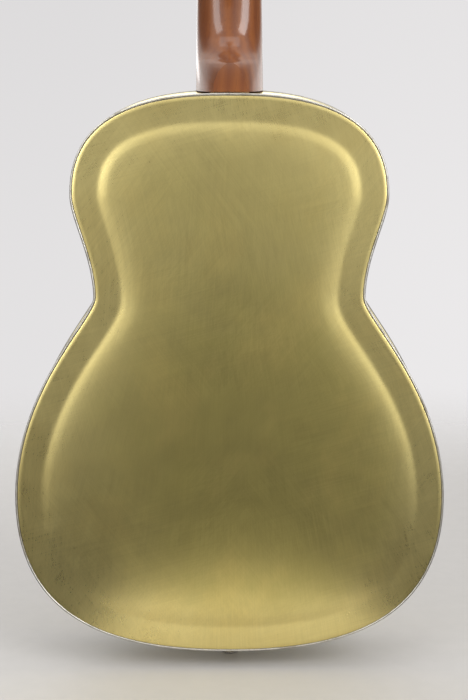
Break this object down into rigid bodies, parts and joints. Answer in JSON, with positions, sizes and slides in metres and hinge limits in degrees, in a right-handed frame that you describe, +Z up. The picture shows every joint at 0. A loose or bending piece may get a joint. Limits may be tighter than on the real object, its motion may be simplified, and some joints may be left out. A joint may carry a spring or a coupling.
{
  "type": "resonator guitar",
  "caption": "Metal-bodied resonator guitar: pressed brass body, spun cone under a slotted coverplate, mahogany neck with heel, fretted board and open-geared tuners.",
  "frame": {"origin": "middle of the body's tail end, half way through the body's depth, on the centre line", "axes": "+Z up along the body towards the headstock, -Y out of the strings' side, +Y out of the back, +X towards the treble strings"},
  "size_m": [0.362, 0.1093, 0.9914],
  "materials": {
    "satin_brass": "satin, fine random scratches, slight patina",
    "spun_aluminium": "spun, fine rings",
    "maple": "bare",
    "steel": "plain",
    "nickel": "worn nickel plate",
    "mahogany": "satin lacquer",
    "ebony": "oiled",
    "bone": "polished bone",
    "button": "cream, polished",
    "gear_brass": "machined",
    "string_bronze": "wound"
  },
  "bodies": {
    "root": {"back_plate": "satin_brass", "side_band_bass": "satin_brass", "side_band_treble": "satin_brass", "top_plate": "satin_brass", "cone_well": "satin_brass", "coverplate": "satin_brass", "hand_rest": "satin_brass", "resonator_cone": "spun_aluminium", "biscuit": "maple", "saddle": "maple", "neck_stick": "maple", "stick_block_upper": "maple", "stick_block_lower": "maple", "biscuit_screw": "steel", "truss_rod": "steel", "tailpiece": "nickel", "end_pin": "nickel", "tuner_plate_bass": "nickel", "tuner_plate_treble": "nickel", "neck": "mahogany", "fingerboard": "ebony", "truss_rod_cover": "ebony", "nut": "bone", "string_1": "string_bronze", "string_2": "string_bronze", "string_3": "string_bronze", "string_4": "string_bronze", "string_5": "string_bronze", "string_6": "string_bronze"},
    "worm_1": {"tuner_worm_1": "nickel", "tuner_button_1": "button"},
    "post_1": {"tuner_post_1": "nickel", "tuner_gear_1": "gear_brass", "string_winding_1": "string_bronze"},
    "worm_2": {"tuner_worm_2": "nickel", "tuner_button_2": "button"},
    "post_2": {"tuner_post_2": "nickel", "tuner_gear_2": "gear_brass", "string_winding_2": "string_bronze"},
    "worm_3": {"tuner_worm_3": "nickel", "tuner_button_3": "button"},
    "post_3": {"tuner_post_3": "nickel", "tuner_gear_3": "gear_brass", "string_winding_3": "string_bronze"},
    "worm_4": {"tuner_worm_4": "nickel", "tuner_button_4": "button"},
    "post_4": {"tuner_post_4": "nickel", "tuner_gear_4": "gear_brass", "string_winding_4": "string_bronze"},
    "worm_5": {"tuner_worm_5": "nickel", "tuner_button_5": "button"},
    "post_5": {"tuner_post_5": "nickel", "tuner_gear_5": "gear_brass", "string_winding_5": "string_bronze"},
    "worm_6": {"tuner_worm_6": "nickel", "tuner_button_6": "button"},
    "post_6": {"tuner_post_6": "nickel", "tuner_gear_6": "gear_brass", "string_winding_6": "string_bronze"},
    "truss_nut": {"truss_rod_nut": "gear_brass"}
  },
  "joints": [
    {"name": "worm_1_turn", "type": "hinge", "parent": "root", "child": "worm_1", "pos_m": [0.022, -0.00592, 0.85651], "axis": [1, 0, 0], "continuous": true},
    {"name": "post_1_turn", "type": "hinge", "parent": "root", "child": "post_1", "pos_m": [0.022, -0.02293, 0.86901], "axis": [0, 0.9681, -0.2504], "continuous": true},
    {"name": "worm_2_turn", "type": "hinge", "parent": "root", "child": "worm_2", "pos_m": [0.022, 0.00309, 0.89136], "axis": [1, 0, 0], "continuous": true},
    {"name": "post_2_turn", "type": "hinge", "parent": "root", "child": "post_2", "pos_m": [0.022, -0.01392, 0.90387], "axis": [0, 0.9681, -0.2504], "continuous": true},
    {"name": "worm_3_turn", "type": "hinge", "parent": "root", "child": "worm_3", "pos_m": [0.022, 0.01211, 0.92622], "axis": [1, 0, 0], "continuous": true},
    {"name": "post_3_turn", "type": "hinge", "parent": "root", "child": "post_3", "pos_m": [0.022, -0.0049, 0.93872], "axis": [0, 0.9681, -0.2504], "continuous": true},
    {"name": "worm_4_turn", "type": "hinge", "parent": "root", "child": "worm_4", "pos_m": [-0.022, 0.01211, 0.92622], "axis": [1, 0, 0], "continuous": true},
    {"name": "post_4_turn", "type": "hinge", "parent": "root", "child": "post_4", "pos_m": [-0.022, -0.0049, 0.93872], "axis": [0, 0.9681, -0.2504], "continuous": true},
    {"name": "worm_5_turn", "type": "hinge", "parent": "root", "child": "worm_5", "pos_m": [-0.022, 0.00309, 0.89136], "axis": [1, 0, 0], "continuous": true},
    {"name": "post_5_turn", "type": "hinge", "parent": "root", "child": "post_5", "pos_m": [-0.022, -0.01392, 0.90387], "axis": [0, 0.9681, -0.2504], "continuous": true},
    {"name": "worm_6_turn", "type": "hinge", "parent": "root", "child": "worm_6", "pos_m": [-0.022, -0.00592, 0.85651], "axis": [1, 0, 0], "continuous": true},
    {"name": "post_6_turn", "type": "hinge", "parent": "root", "child": "post_6", "pos_m": [-0.022, -0.02293, 0.86901], "axis": [0, 0.9681, -0.2504], "continuous": true},
    {"name": "truss_nut_turn", "type": "hinge", "parent": "root", "child": "truss_nut", "pos_m": [0, -0.02609, 0.83406], "axis": [0, 0.0262, 0.9997], "range_deg": [-180, 180]}
  ],
  "couplings": [
    {"joint": "post_1_turn", "follows": "worm_1_turn", "ratio": 0.071429},
    {"joint": "post_2_turn", "follows": "worm_2_turn", "ratio": 0.071429},
    {"joint": "post_3_turn", "follows": "worm_3_turn", "ratio": 0.071429},
    {"joint": "post_4_turn", "follows": "worm_4_turn", "ratio": 0.071429},
    {"joint": "post_5_turn", "follows": "worm_5_turn", "ratio": 0.071429},
    {"joint": "post_6_turn", "follows": "worm_6_turn", "ratio": 0.071429}
  ]
}
